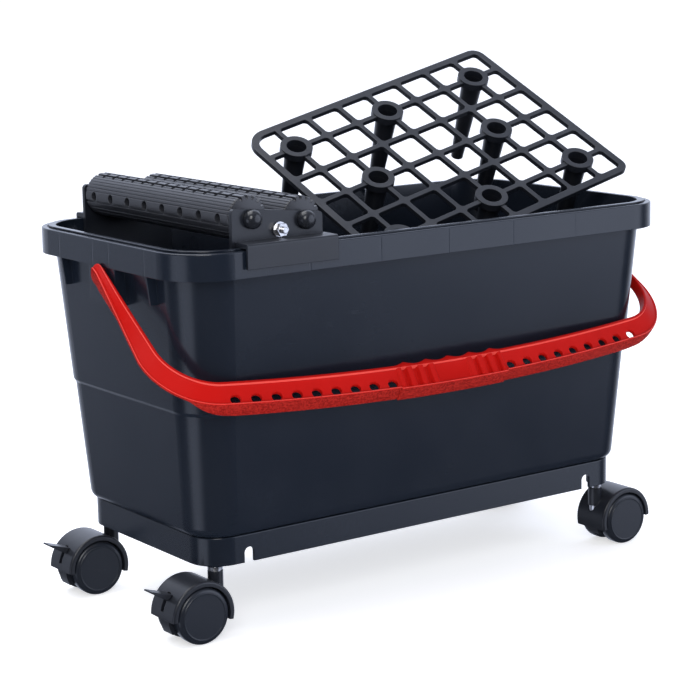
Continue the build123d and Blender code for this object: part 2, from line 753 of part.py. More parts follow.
def make_caster(sx, sy, where, braked):
    """One caster with its wheels trailing away from the middle of the tub."""
    out = 1 if sx > 0 else -1
    axle_x = sx + out * trail
    below = (Align.CENTER, Align.MAX)
    outward = (Align.MIN if out > 0 else Align.MAX, Align.CENTER)

    with BuildPart() as stem:
        with BuildSketch(Plane.XY.offset(stem_foot_z)):
            with Locations((sx, sy)):
                Circle(stem_r)
        extrude(amount=tub_bottom_z - base_t - stem_top_gap - stem_foot_z)
        with BuildSketch(Plane.XY.offset(stem_ring_z)):
            with Locations((sx, sy)):
                Circle(stem_ring_r)
        extrude(amount=stem_ring_t)
    stem.part.label = "caster_stem_" + where
    export_step(stem.part, "parts/caster_stem_" + where + ".step")

    pivot = (axle_x + out * lever_pivot_r * cos(lever_pivot_a), wheel_r + lever_pivot_r * sin(lever_pivot_a))
    with BuildPart() as hood:
        with BuildSketch(Plane.XZ.offset(-sy)):
            with Locations((axle_x, wheel_r)):
                Circle(hood_out_r)
                Circle(hood_in_r, mode=Mode.SUBTRACT)
            with Locations(Location((axle_x, hood_foot_z), out * hood_foot_deg)):
                Rectangle(4 * hood_out_r, 4 * hood_out_r, align=below, mode=Mode.SUBTRACT)
        extrude(amount=hood_half, both=True)
        fillet(hood.edges().filter_by(GeomType.CIRCLE).sort_by(SortBy.RADIUS)[-2:], radius=hood_edge_r)
        with BuildSketch(Plane.XZ.offset(-sy)):
            with Locations((axle_x, wheel_r)):
                Circle((hood_in_r + hood_out_r) / 2)
            with Locations((axle_x, carrier_foot_z)):
                Rectangle(4 * hood_out_r, 4 * hood_out_r, align=below, mode=Mode.SUBTRACT)
        extrude(amount=carrier_half, both=True)
        with BuildSketch(Plane.XY.offset(neck_top_z)):
            with Locations((sx, sy)):
                Circle(neck_r)
        extrude(amount=neck_foot_z - neck_top_z)
        with BuildSketch(Plane.XY.offset(stem_foot_z - seat_gap)):
            with Locations((sx, sy)):
                Circle(stem_r + running_gap)
        extrude(amount=neck_top_z - stem_foot_z + cut_over, mode=Mode.SUBTRACT)
        with BuildSketch(Plane.XZ.offset(-sy)):
            with Locations((axle_x, wheel_r)):
                Circle(caster_axle_r + running_gap)
        extrude(amount=carrier_half, both=True, mode=Mode.SUBTRACT)
        if braked:
            with BuildSketch(Plane.XZ.offset(-sy)):
                with Locations(pivot):
                    Circle(lever_barrel_r + lever_gap)
                    Rectangle(lever_slot_l, lever_slot_w, align=outward)
            extrude(amount=lever_web_half + lever_side_gap, both=True, mode=Mode.SUBTRACT)
            with BuildSketch(Plane.XZ.offset(-sy)):
                with Locations(pivot):
                    Circle(lever_pin_r + running_gap)
            extrude(amount=lever_web_half + lever_pin_l + seat_gap, both=True, mode=Mode.SUBTRACT)
    hood.part.label = "caster_hood_" + where
    export_step(hood.part, "parts/caster_hood_" + where + ".step")

    with BuildPart() as axle:
        with BuildSketch(Plane.XZ.offset(-sy)):
            with Locations((axle_x, wheel_r)):
                Circle(caster_axle_r)
        extrude(amount=wheel_face - wheel_web_t - seat_gap, both=True)
    axle.part.label = "caster_axle_" + where
    export_step(axle.part, "parts/caster_axle_" + where + ".step")

    for side, name in ((1, "front"), (-1, "rear")):
        with BuildPart() as wheel:
            with BuildSketch(Plane.XZ.offset(-sy + side * wheel_in)):
                with Locations((axle_x, wheel_r)):
                    Circle(wheel_r)
            extrude(amount=side * wheel_w)
            fillet(wheel.edges().filter_by(GeomType.CIRCLE), radius=wheel_edge_r)
            with BuildSketch(Plane.XZ.offset(-sy + side * wheel_in)):
                with Locations((axle_x, wheel_r)):
                    Circle(caster_axle_r + running_gap)
            extrude(amount=side * (wheel_w - wheel_web_t), mode=Mode.SUBTRACT)
        wheel.part.label = "caster_wheel_" + where + "_" + name
        export_step(wheel.part, "parts/caster_wheel_" + where + "_" + name + ".step")

    if braked:
        lever_plane = Plane(
            origin=(pivot[0], sy, pivot[1]),
            x_dir=(out * cos(lever_a), 0, sin(lever_a)),
            z_dir=(0, -out, 0),
        )
        wedge = (
            (0, -lever_root_t / 2),
            (lever_len, -lever_tip_t / 2),
            (lever_len, lever_tip_t / 2),
            (0, lever_root_t / 2),
        )
        with BuildPart() as lever:
            with BuildSketch(lever_plane):
                Polygon(*wedge, align=None)
                Circle(lever_barrel_r)
            extrude(amount=lever_web_half, both=True)
            with BuildSketch(lever_plane):
                Polygon(*wedge, align=None)
                for press in (0.0, lever_press_deg):
                    toward_axle = radians(180 + lever_at_deg + press - lever_deg)
                    with Locations((lever_pivot_r * cos(toward_axle), lever_pivot_r * sin(toward_axle))):
                        Circle(hood_out_r + lever_clear, mode=Mode.SUBTRACT)
            extrude(amount=lever_half, both=True)
            with BuildSketch(lever_plane):
                Circle(lever_pin_r)
            extrude(amount=lever_web_half + lever_pin_l, both=True)
        lever.part.label = "brake_lever_" + where
        export_step(lever.part, "parts/brake_lever_" + where + ".step")


make_caster(-caster_x, -caster_y, "front_left", True)
make_caster(-caster_x, caster_y, "rear_left", True)
make_caster(caster_x, -caster_y, "front_right", False)
make_caster(caster_x, caster_y, "rear_right", False)
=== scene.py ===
"""Rolling wash bucket: finishes, moulded detail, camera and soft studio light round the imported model.

Metres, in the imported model's own frame: X along the tub, the bail over the -Y side, Z up.
Shapes are worked out in millimetres and scaled by MM as they are placed.
"""

import json
import math

import bmesh
import bpy
from mathutils import Matrix, Vector


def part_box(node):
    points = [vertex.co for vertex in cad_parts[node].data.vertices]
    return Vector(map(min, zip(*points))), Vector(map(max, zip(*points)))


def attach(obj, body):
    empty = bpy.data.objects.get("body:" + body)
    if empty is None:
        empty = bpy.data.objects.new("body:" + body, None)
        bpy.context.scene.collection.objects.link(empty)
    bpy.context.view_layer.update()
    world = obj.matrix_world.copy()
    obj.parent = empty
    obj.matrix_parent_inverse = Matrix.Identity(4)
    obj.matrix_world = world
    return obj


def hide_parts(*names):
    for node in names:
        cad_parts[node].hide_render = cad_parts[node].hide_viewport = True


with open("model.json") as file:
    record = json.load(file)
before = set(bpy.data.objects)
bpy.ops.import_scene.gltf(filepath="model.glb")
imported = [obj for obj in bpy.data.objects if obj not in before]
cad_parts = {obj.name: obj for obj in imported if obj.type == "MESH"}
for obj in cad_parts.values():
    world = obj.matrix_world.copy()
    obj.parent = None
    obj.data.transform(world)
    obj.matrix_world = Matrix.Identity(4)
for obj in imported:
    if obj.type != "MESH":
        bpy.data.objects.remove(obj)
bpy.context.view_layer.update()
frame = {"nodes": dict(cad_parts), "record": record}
nodes = frame["nodes"]
scene = bpy.context.scene

MM = 0.001

# Points closer than this, in metres, become one.
MERGE = 0.00001


# Node helpers

# A Mix node's colour sockets by number, because its other kinds have the same names.
MIX_A, MIX_B, MIX_RESULT = 6, 7, 2


def start_group(name, inputs, outputs):
    """An empty shader node group with named sockets; returns the tree, its input node and its output node."""
    tree = bpy.data.node_groups.new(name, "ShaderNodeTree")
    for label, kind, value in inputs:
        socket = tree.interface.new_socket(label, in_out="INPUT", socket_type=kind)
        if value is not None:
            socket.default_value = value
    for label, kind in outputs:
        tree.interface.new_socket(label, in_out="OUTPUT", socket_type=kind)
    return tree, tree.nodes.new("NodeGroupInput"), tree.nodes.new("NodeGroupOutput")


def feed(tree, value, socket):
    """Links a socket to an input, or sets a plain number on it."""
    if isinstance(value, (int, float, tuple)):
        socket.default_value = value
    else:
        tree.links.new(value, socket)


def noise(tree, vector, scale, detail=3.0, rough=0.55, stretch=None):
    """A noise texture; scale is a socket or a number, and stretch scales the coordinates first."""
    node = tree.nodes.new("ShaderNodeTexNoise")
    node.inputs["Detail"].default_value = detail
    node.inputs["Roughness"].default_value = rough
    if stretch:
        mapping = tree.nodes.new("ShaderNodeMapping")
        mapping.inputs["Scale"].default_value = stretch
        tree.links.new(vector, mapping.inputs["Vector"])
        vector = mapping.outputs["Vector"]
    tree.links.new(vector, node.inputs["Vector"])
    feed(tree, scale, node.inputs["Scale"])
    return node.outputs["Fac"]


def maths(tree, operation, a, b=0.0, c=0.0, clamp=False):
    """A math node; each operand is a socket or a number."""
    node = tree.nodes.new("ShaderNodeMath")
    node.operation = operation
    node.use_clamp = clamp
    for value, socket in zip((a, b, c), node.inputs):
        feed(tree, value, socket)
    return node.outputs[0]


def band(tree, value, low, high, out_low=0.0, out_high=1.0, smooth=False):
    """Maps a value from low..high to out_low..out_high, clamped."""
    node = tree.nodes.new("ShaderNodeMapRange")
    node.interpolation_type = "SMOOTHSTEP" if smooth else "LINEAR"
    feed(tree, value, node.inputs["Value"])
    for label, number in (("From Min", low), ("From Max", high), ("To Min", out_low), ("To Max", out_high)):
        feed(tree, number, node.inputs[label])
    return node.outputs["Result"]


def split_axes(tree, vector):
    """The three parts of a vector, as sockets."""
    node = tree.nodes.new("ShaderNodeSeparateXYZ")
    tree.links.new(vector, node.inputs["Vector"])
    return node.outputs["X"], node.outputs["Y"], node.outputs["Z"]


def mix_colour(tree, factor, a, b):
    """Mixes from colour a to colour b; each is a socket or a plain colour."""
    node = tree.nodes.new("ShaderNodeMix")
    node.data_type = "RGBA"
    feed(tree, factor, node.inputs["Factor"])
    for value, socket in ((a, node.inputs[MIX_A]), (b, node.inputs[MIX_B])):
        if isinstance(value, tuple):
            socket.default_value = (*value, 1.0)
        else:
            tree.links.new(value, socket)
    return node.outputs[MIX_RESULT]


# Shared effects, as node groups

# Radius in metres that the edges of a moulding seem to have, and how finely it is sampled.
EDGE_RADIUS, EDGE_SAMPLES = 0.0007, 6

# The rim band, in metres: its foot and top, and how far the sink lines take to fade in there.
RIM_FOOT, RIM_TOP, RIM_FADE = 0.3165, 0.3395, 0.0010

# Depth behind the rim's outer face where a sink line starts and where it is full.
SINK_START, SINK_FULL = 0.006, 0.003

# Half width of a sink line's core, and of the whole line.
LINE_CORE, LINE_EDGE = 0.0003, 0.0010

# Outer face of the rim, then the ribs' places along it, in metres from the middle.
SHORT_SIDE_RIBS = (0.2700, 0.014, 0.074)
LONG_SIDE_RIBS = (0.1415, 0.0, 0.074, 0.148)


def moulded_skin_group():
    """Flow mottle and fine spark grain of an injection moulding."""
    tree, inp, out = start_group(
        "Moulded Skin",
        [
            ("Vector", "NodeSocketVector", None),
            ("Grain Scale", "NodeSocketFloat", 900.0),
            ("Grain", "NodeSocketFloat", 0.5),
            ("Flow Scale", "NodeSocketFloat", 9.0),
        ],
        [("Height", "NodeSocketFloat"), ("Mottle", "NodeSocketFloat"), ("Speckle", "NodeSocketFloat")],
    )
    vector = inp.outputs["Vector"]
    grain = noise(tree, vector, inp.outputs["Grain Scale"], detail=2.0)
    tree.links.new(band(tree, grain, 0.4, 0.6), out.inputs["Speckle"])
    flow = noise(tree, vector, inp.outputs["Flow Scale"], detail=4.0, rough=0.6)
    fine = maths(tree, "MULTIPLY", grain, inp.outputs["Grain"])
    tree.links.new(maths(tree, "MULTIPLY_ADD", flow, 0.6, fine), out.inputs["Height"])
    tree.links.new(band(tree, flow, 0.3, 0.7), out.inputs["Mottle"])
    return tree


def handling_marks_group():
    """Fine scuffs and short scratches from handling."""
    tree, inp, out = start_group(
        "Handling Marks",
        [
            ("Vector", "NodeSocketVector", None),
            ("Scale", "NodeSocketFloat", 30.0),
            ("Amount", "NodeSocketFloat", 0.3),
        ],
        [("Marks", "NodeSocketFloat")],
    )
    vector = inp.outputs["Vector"]
    along = noise(tree, vector, inp.outputs["Scale"], detail=6.0, rough=0.7, stretch=(1.0, 9.0, 6.0))
    across = noise(tree, vector, inp.outputs["Scale"], detail=6.0, rough=0.7, stretch=(7.0, 1.0, 9.0))
    area = band(tree, noise(tree, vector, scale=7.0, detail=2.0), 0.42, 0.68)
    lines = maths(tree, "MAXIMUM", band(tree, along, 0.6, 0.72), band(tree, across, 0.62, 0.74))
    marks = maths(tree, "MULTIPLY", maths(tree, "MULTIPLY", lines, area), inp.outputs["Amount"], clamp=True)
    tree.links.new(marks, out.inputs["Marks"])
    return tree


def settled_dust_group():
    """Thin pale dust on faces that look up, broken by noise."""
    tree, inp, out = start_group(
        "Settled Dust",
        [("Vector", "NodeSocketVector", None), ("Amount", "NodeSocketFloat", 0.2)],
        [("Dust", "NodeSocketFloat")],
    )
    geometry = tree.nodes.new("ShaderNodeNewGeometry")
    up = band(tree, split_axes(tree, geometry.outputs["Normal"])[2], 0.35, 1.0)
    cloud = noise(tree, inp.outputs["Vector"], scale=22.0, detail=5.0, rough=0.65)
    cloud = band(tree, cloud, 0.35, 0.75)
    dust = maths(tree, "MULTIPLY", maths(tree, "MULTIPLY", up, cloud), inp.outputs["Amount"], clamp=True)
    tree.links.new(dust, out.inputs["Dust"])
    return tree


def soft_edges_group():
    """Normals that run round each edge, as a moulding's edges do."""
    tree, inp, out = start_group(
        "Soft Edges",
        [("Radius", "NodeSocketFloat", EDGE_RADIUS)],
        [("Normal", "NodeSocketVector")],
    )
    rounded = tree.nodes.new("ShaderNodeBevel")
    rounded.samples = EDGE_SAMPLES
    tree.links.new(inp.outputs["Radius"], rounded.inputs["Radius"])
    tree.links.new(rounded.outputs["Normal"], out.inputs["Normal"])
    return tree


def rib_lines_group():
    """Fine sink lines down the rim band, where ribs stand behind it."""
    tree, inp, out = start_group(
        "Rib Lines",
        [("Vector", "NodeSocketVector", None)],
        [("Lines", "NodeSocketFloat")],
    )
    x, y, z = split_axes(tree, inp.outputs["Vector"])
    above = band(tree, z, RIM_FOOT, RIM_FOOT + RIM_FADE)
    below = band(tree, z, RIM_TOP - RIM_FADE, RIM_TOP, 1.0, 0.0)
    rim = maths(tree, "MULTIPLY", above, below)
    lines = 0.0
    for along, across, (face, *spots) in ((y, x, SHORT_SIDE_RIBS), (x, y, LONG_SIDE_RIBS)):
        outside = band(tree, maths(tree, "ABSOLUTE", across), face - SINK_START, face - SINK_FULL)
        distance = maths(tree, "ABSOLUTE", along)
        for spot in spots:
            off = maths(tree, "ABSOLUTE", maths(tree, "SUBTRACT", distance, spot))
            line = maths(tree, "MULTIPLY", band(tree, off, LINE_CORE, LINE_EDGE, 1.0, 0.0), outside)
            lines = maths(tree, "MAXIMUM", line, lines)
    tree.links.new(maths(tree, "MULTIPLY", lines, rim), out.inputs["Lines"])
    return tree


moulded_skin = moulded_skin_group()
rib_lines = rib_lines_group()
soft_edges = soft_edges_group()
handling_marks = handling_marks_group()
settled_dust = settled_dust_group()


# Finishes

# Depth in metres of a moulding's fine relief, and the colour of dust.
BUMP_DEPTH = 0.0004
DUST_COLOUR = (0.42, 0.42, 0.43)

# How strongly a handling mark tints the colour, and how much it dulls the gloss.
MARK_TINT, MARK_DULL = 0.35, 0.35

# Zinc: brightness of its dull specks, and how much rougher its turning lines are.
ZINC_DULL, ZINC_ROUGH_LINES = 0.82, 0.16


def place_group(tree, group, vector, **values):
    """Places a shared effect in a material with its own values; vector is None where it reads none."""
    node = tree.nodes.new("ShaderNodeGroup")
    node.node_tree = group
    if vector:
        tree.links.new(vector, node.inputs["Vector"])
    for label, value in values.items():
        node.inputs[label.replace("_", " ")].default_value = value
    return node


def start_finish(name):
    """A new node material; returns it, its tree, its shader and the Object coordinate socket."""
    material = bpy.data.materials.new(name)
    material.use_nodes = True
    tree = material.node_tree
    shader = tree.nodes["Principled BSDF"]
    coords = tree.nodes.new("ShaderNodeTexCoord")
    return material, tree, shader, coords.outputs["Object"]


def add_bump(tree, shader, height, strength, distance):
    """Relief from a height socket; returns the bump node."""
    bump = tree.nodes.new("ShaderNodeBump")
    bump.inputs["Strength"].default_value = strength
    bump.inputs["Distance"].default_value = distance
    tree.links.new(height, bump.inputs["Height"])
    tree.links.new(bump.outputs["Normal"], shader.inputs["Normal"])
    return bump


def moulded_plastic(
    name,
    colour,
    flow_colour,
    rough,
    rough_flow,
    specular=0.5,
    grain_scale=900.0,
    grain=0.4,
    bump=0.12,
    marks=0.25,
    mark_colour=(0.2, 0.21, 0.23),
    dust=0.06,
    speckle=0.0,
    ribs=0.0,
):
    """Injection moulded plastic with flow mottle, fine grain, scuffs, soft edges and a trace of dust."""
    material, tree, shader, vector = start_finish(name)
    skin = place_group(tree, moulded_skin, vector, Grain_Scale=grain_scale, Grain=grain)
    scuff = place_group(tree, handling_marks, vector, Amount=marks)
    film = place_group(tree, settled_dust, vector, Amount=dust)
    tone = mix_colour(tree, skin.outputs["Mottle"], colour, flow_colour)
    if speckle:
        spots = maths(tree, "MULTIPLY", skin.outputs["Speckle"], speckle)
        tone = mix_colour(tree, spots, tone, mark_colour)
    height = skin.outputs["Height"]
    if ribs:
        lines = place_group(tree, rib_lines, vector).outputs["Lines"]
        height = maths(tree, "MULTIPLY_ADD", lines, -ribs, height)
    tint = maths(tree, "MULTIPLY", scuff.outputs["Marks"], MARK_TINT)
    tone = mix_colour(tree, tint, tone, mark_colour)
    tone = mix_colour(tree, film.outputs["Dust"], tone, DUST_COLOUR)
    tree.links.new(tone, shader.inputs["Base Color"])
    gloss = band(tree, skin.outputs["Mottle"], 0.0, 1.0, rough, rough + rough_flow)
    gloss = maths(tree, "MULTIPLY_ADD", scuff.outputs["Marks"], MARK_DULL, gloss, clamp=True)
    tree.links.new(gloss, shader.inputs["Roughness"])
    shader.inputs["Specular IOR Level"].default_value = specular
    relief = add_bump(tree, shader, height, bump, BUMP_DEPTH)
    corners = place_group(tree, soft_edges, None, Radius=EDGE_RADIUS)
    tree.links.new(corners.outputs["Normal"], relief.inputs["Normal"])
    return material


def zinc_plate(name, colour, rough):
    """Bright zinc plate with faint turning lines and dull specks."""
    material, tree, shader, vector = start_finish(name)
    skin = place_group(tree, moulded_skin, vector, Grain_Scale=1500.0, Grain=0.3, Flow_Scale=60.0)
    lines = noise(tree, vector, scale=260.0, detail=2.0, rough=0.5, stretch=(1.0, 8.0, 1.0))
    dull = tuple(ZINC_DULL * c for c in colour)
    tone = mix_colour(tree, skin.outputs["Mottle"], colour, dull)
    tree.links.new(tone, shader.inputs["Base Color"])
    gloss = band(tree, lines, 0.3, 0.7, rough, rough + ZINC_ROUGH_LINES)
    tree.links.new(gloss, shader.inputs["Roughness"])
    shader.inputs["Metallic"].default_value = 1.0
    add_bump(tree, shader, lines, strength=0.15, distance=0.0002)
    return material


tub_finish = moulded_plastic(
    "anthracite_gloss",
    (0.0075, 0.0110, 0.0185),
    (0.0095, 0.0132, 0.0215),
    rough=0.19,
    rough_flow=0.06,
    specular=0.45,
    marks=0.08,
    dust=0.03,
    ribs=4.0,
)
bail_finish = moulded_plastic(
    "bail_red",
    (0.53, 0.0080, 0.0055),
    (0.47, 0.0070, 0.0048),
    rough=0.40,
    rough_flow=0.08,
    specular=0.06,
    mark_colour=(0.75, 0.25, 0.2),
    dust=0.0,
)
# Grained outer wall of the bail: a darker, rougher red. The darkness is partly its own grain and partly
# painted shade, for a wall that faces down and away from the key light.
bail_grain_and_shade = moulded_plastic(
    "bail_red_grained",
    (0.21, 0.0045, 0.0030),
    (0.16, 0.0034, 0.0022),
    rough=0.58,
    rough_flow=0.10,
    specular=0.05,
    grain_scale=620.0,
    grain=1.0,
    bump=0.5,
    mark_colour=(0.52, 0.026, 0.018),
    dust=0.0,
    speckle=0.5,
)
# Painted highlight: a paler, glossier red on the crests of the ridge and lip, standing in for light caught
# along those edges.
bail_painted_highlight = moulded_plastic(
    "bail_red_crest",
    (0.82, 0.085, 0.065),
    (0.76, 0.070, 0.054),
    rough=0.30,
    rough_flow=0.08,
    specular=0.25,
    mark_colour=(0.85, 0.35, 0.3),
    dust=0.0,
)
black_finish = moulded_plastic(
    "satin_black",
    (0.0105, 0.0125, 0.0180),
    (0.0140, 0.0160, 0.0220),
    rough=0.27,
    rough_flow=0.09,
    grain=0.7,
)
roller_finish = moulded_plastic(
    "roller_grey",
    (0.0260, 0.0275, 0.0340),
    (0.0330, 0.0345, 0.0415),
    rough=0.30,
    rough_flow=0.10,
    grain=0.9,
)
grid_finish = moulded_plastic(
    "grid_black",
    (0.0100, 0.0118, 0.0170),
    (0.0125, 0.0142, 0.0195),
    rough=0.33,
    rough_flow=0.10,
    specular=0.4,
    grain=0.7,
)
cap_finish = moulded_plastic(
    "cap_black",
    (0.0105, 0.0120, 0.0160),
    (0.0130, 0.0145, 0.0190),
    rough=0.22,
    rough_flow=0.06,
)
wheel_finish = moulded_plastic(
    "wheel_grey",
    (0.0085, 0.0115, 0.0185),
    (0.0110, 0.0140, 0.0215),
    rough=0.28,
    rough_flow=0.08,
)
zinc_finish = zinc_plate("bright_zinc", (0.74, 0.74, 0.76), rough=0.22)

SLOT_FINISH = {
    "tub_plastic": tub_finish,
    "bail_plastic": bail_finish,
    "black_plastic": black_finish,
    "cap_plastic": cap_finish,
    "wheel_plastic": wheel_finish,
    "zinc_steel": zinc_finish,
}

# Nodes whose finish differs from the rest of their slot.
NODE_FINISH = {"grid": grid_finish, "grid_legs": grid_finish}


def dress(thing, *finishes):
    """Gives a mesh its finishes.

    Clearing sets every face to the first finish, so a new mesh, which has none, isn't cleared.
    """
    if thing.data.materials:
        thing.data.materials.clear()
    for finish in finishes:
        thing.data.materials.append(finish)


for row in frame["record"]["subparts"]:
    dress(nodes[row["node"]], NODE_FINISH.get(row["node"], SLOT_FINISH[row["material_slot"]]))


# Shaping helpers

# Edges sharper than this stay sharp, unless a piece asks for another angle.
SMOOTH_DEG = 32.0

# How far a cutter stands out of what it cuts, in millimetres.
CUT_PAST = 1.0


def patch(columns, rows, place, skin=None):
    """A tube of columns by rows, each vertex of a grid moved to place(column, row), with its ends filled.

    skin(column) gives the faces of a column their finish, by its number.
    """
    shape = bmesh.new()
    bmesh.ops.create_grid(shape, x_segments=columns, y_segments=rows, size=0.5)
    if skin:
        for face in shape.faces:
            face.material_index = skin(int((face.calc_center_median().x + 0.5) * columns))
    for vert in shape.verts:
        column = round((vert.co.x + 0.5) * columns)
        row = round((vert.co.y + 0.5) * rows)
        vert.co = Vector(place(column % columns, row)) * MM
    bmesh.ops.remove_doubles(shape, verts=shape.verts, dist=MERGE)
    bmesh.ops.holes_fill(shape, edges=[e for e in shape.edges if e.is_boundary], sides=0)
    bmesh.ops.recalc_face_normals(shape, faces=shape.faces)
    return shape


def soften_shading(mesh, smooth_deg):
    """Smooth shading, except across edges sharper than smooth_deg."""
    mesh.shade_smooth()
    mesh.set_sharp_from_angle(angle=math.radians(smooth_deg))


def settle(shape, name, smooth_deg=SMOOTH_DEG):
    """Turns a bmesh into an object at the origin, smooth except at edges sharper than smooth_deg."""
    mesh = bpy.data.meshes.new(name)
    shape.to_mesh(mesh)
    shape.free()
    soften_shading(mesh, smooth_deg)
    thing = bpy.data.objects.new(name, mesh)
    scene.collection.objects.link(thing)
    return thing


def drill(thing, cutter, smooth_deg):
    """Cuts the closed shapes in cutter out of a piece, and keeps the result as its mesh."""
    tool = settle(cutter, "drill")
    cut = thing.modifiers.new("drill", "BOOLEAN")
    cut.operation = "DIFFERENCE"
    cut.solver = "EXACT"
    cut.object = tool
    bpy.context.view_layer.update()
    solid = bpy.data.meshes.new_from_object(thing.evaluated_get(bpy.context.evaluated_depsgraph_get()))
    thing.modifiers.clear()
    whole = thing.data
    thing.data = solid
    bpy.data.meshes.remove(whole)
    solid.name = thing.name
    soften_shading(solid, smooth_deg)
    bpy.data.objects.remove(tool)


def rod(shape, start, end, radius, segments=32, flat=1.0, lie=None):
    """Adds a closed cylinder between two points, in millimetres; flat narrows it across the direction lie."""
    a, b = Vector(start), Vector(end)
    made = bmesh.ops.create_cone(
        shape,
        cap_ends=True,
        segments=segments,
        radius1=radius * MM,
        radius2=radius * MM,
        depth=(b - a).length * MM,
    )
    move = (b - a).to_track_quat("Z", "Y").to_matrix().to_4x4()
    if lie:
        along = (b - a).normalized()
        across = Vector(lie).normalized()
        move = Matrix((across.cross(along) * flat, across, along)).transposed().to_4x4()
    move.translation = (a + b) / 2 * MM
    bmesh.ops.transform(shape, matrix=move, verts=made["verts"])


def ramp(value, low, high):
    """How far a value is from low to high, held between 0 and 1."""
    return min(1.0, max(0.0, (value - low) / (high - low)))


# Bail

# The bail's plane at rest: its tilt and the height of its pivots. Sizes are in millimetres.
BAIL_TILT = math.radians(35.3)
BAIL_PIVOT_Z = 310.5

# Arms: inner and outer faces from the middle, width at the hub and the run over which it widens.
ARM_IN, ARM_OUT, ARM_END_W, ARM_TAPER = 271.2, 287.0, 3.6, 107.0

# Span: reach of its two edges from the pivots, their bow, and their corners' radii.
SPAN_IN, SPAN_OUT = 164.52, 184.46
BOW_IN, BOW_OUT = 18.9, 22.0
CORNER_IN, CORNER_OUT = 46.0, 61.8

# Heights over the plane: the ridge, the outer lip, and the foot of the walls.
BAIL_TOP, ARM_LIP, SPAN_LIP = 9.5, 1.1, 1.95
SPAN_FOOT, ARM_FOOT, REST_FOOT = -12.95, -1.4, -1.5

# Hub foot, where it ends and where the arm is flat; then where the span's depth starts and is full.
HUB_FOOT, HUB_FOOT_Y, ARM_FLAT_Y = -7.4, 12.0, 55.0
ARM_SHALLOW, ARM_DEEP = 158.0, 171.5

# From the middle out, the inner wall is short up to the first place and deep from the second on.
SHORT_WALL_END, DEEP_WALL_START = 243.0, 250.0

# Grip: bulge of the outer edge, finger waves of the inner one, and the raised bars from the middle out.
GRIP_BULGE, FINGER_PITCH, FINGER_OUT, FINGER_SOFT = 1.5, 24.4, 3.3, 0.01
GRIP_BARS = ((18.5, 24.7), (30.3, 36.7), (42.3, 48.7), (54.3, 58.5))
GRIP_END = GRIP_BARS[-1][1] + 1.0
BAR_SLOPE_OUT, BAR_SLOPE_IN = 0.5, 0.3

# Holes: first place, pitch, count on each side, distance from the outer edge, half sizes and cut.
HOLE_X0, HOLE_PITCH, HOLE_COUNT, HOLE_IN = 67.0, 19.5, 9, 5.2
HOLE_HALF_L, HOLE_HALF_W = 5.2, 3.9
HOLE_LOW, HOLE_HIGH = -6.0, 12.0

# Widths of the ridge, lip and wall, as (share of a section up to NARROW wide, size in one from WIDE on).
NARROW, WIDE = 4.0, 11.0
RIDGE, LIP, WALL = (0.35, 2.9), (0.2, 1.5), (0.3, 3.0)

# Depth of the web under the crests: on the arms, on the span and in the grip's grooves.
ARM_SINK, WEB_SINK, GROOVE_SINK = 1.0, 1.8, 3.6

# Where the web starts: its drop under the ridge, its rise over the lip, and how much less it sinks there.
CREST_DROP, LIP_RISE, LIP_SINK_LESS = 0.6, 0.1, 0.3

# Thickness of the web by the inner and outer walls, and its least height over their feet, wide and narrow.
WEB_IN, WEB_OUT, FOOT_CLEAR, FOOT_FILL = 3.0, 2.6, 0.3, 0.6

# Hub radius, then the pins: radius, place of the tip, and lap into the arm.
HUB_R, PIN_R, PIN_END, PIN_LAP = 9.2, 5.95, 258.4, 1.5

# Stations: angles of the rounded end, steps of arm and corner, then steps along the span and the grip.
END_ANGLES = (90, 75, 60, 45, 30, 15)
ARM_STEPS, CORNER_STEPS = 18, 18
SPAN_END, SPAN_STEP, SPAN_STEPS = 230.5, 4.15, 40
GRIP_STEP, GRIP_STEPS = 0.8, 80

BAIL_SMOOTH_DEG = 28.0


def bail_point(x, y, height):
    """A point of the bail's own plane, lifted by height along the plane's normal."""
    c, s = math.cos(BAIL_TILT), math.sin(BAIL_TILT)
    return (x, y * c - height * s, BAIL_PIVOT_Z + y * s + height * c)


def bail_edge(half, reach, bow, corner):
    """Radius and centre of a span edge's arc, the corner centre's y, and the angle where the two meet."""
    radius = (half * half + bow * bow) / (2 * bow)
    middle = radius - reach
    corner_y = middle - math.sqrt((radius - corner) ** 2 - (half - corner) ** 2)
    return radius, middle, corner_y, math.atan2(half - corner, middle - corner_y)


def edge_at(half, reach, bow, corner, zone, t):
    """Point of one edge of the bail's right half: t runs from 0 to 1 in each zone, hub to mid-span."""
    radius, middle, corner_y, turn = bail_edge(half, reach, bow, corner)
    if zone == "arm":
        return half, corner_y * t
    if zone == "corner":
        a = (math.pi / 2 - turn) * t
        return half - corner + corner * math.cos(a), corner_y - corner * math.sin(a)
    x = radius * math.sin(turn) * (1 - t)
    return x, middle - math.sqrt(radius * radius - x * x)


def bail_rail():
    """Stations of the right half, from the rounded end of the arm to mid-span, as (zone, t)."""
    rail = [("end", math.sin(math.radians(a))) for a in END_ANGLES]
    rail += [("arm", k / ARM_STEPS) for k in range(ARM_STEPS)]
    rail += [("corner", k / CORNER_STEPS) for k in range(CORNER_STEPS)]
    spots = [SPAN_END - k * SPAN_STEP for k in range(SPAN_STEPS)]
    spots += [GRIP_STEP * k for k in range(GRIP_STEPS, -1, -1)]
    return rail + [("span", 1 - x / SPAN_END) for x in spots]


def bail_foot(y):
    """Height of the walls' foot: round at the hub, flat along the arms and deep along the span."""
    foot = HUB_FOOT + (ARM_FOOT - HUB_FOOT) * ramp(-y, HUB_FOOT_Y, ARM_FLAT_Y)
    foot += (SPAN_FOOT - ARM_FOOT) * ramp(-y, ARM_SHALLOW, ARM_DEEP)
    return min(foot, -math.sqrt(max(0.0, HUB_R * HUB_R - min(0.0, y) ** 2)))


def grip_bar(x):
    """1 on the raised bars across the grip, 0 off them, with short slopes between."""
    bars = []
    for a, b in GRIP_BARS:
        rise = ramp(x, a - BAR_SLOPE_OUT, a + BAR_SLOPE_IN)
        fall = 1 - ramp(x, b - BAR_SLOPE_IN, b + BAR_SLOPE_OUT)
        bars.append(min(rise, fall))
    return max(bars)


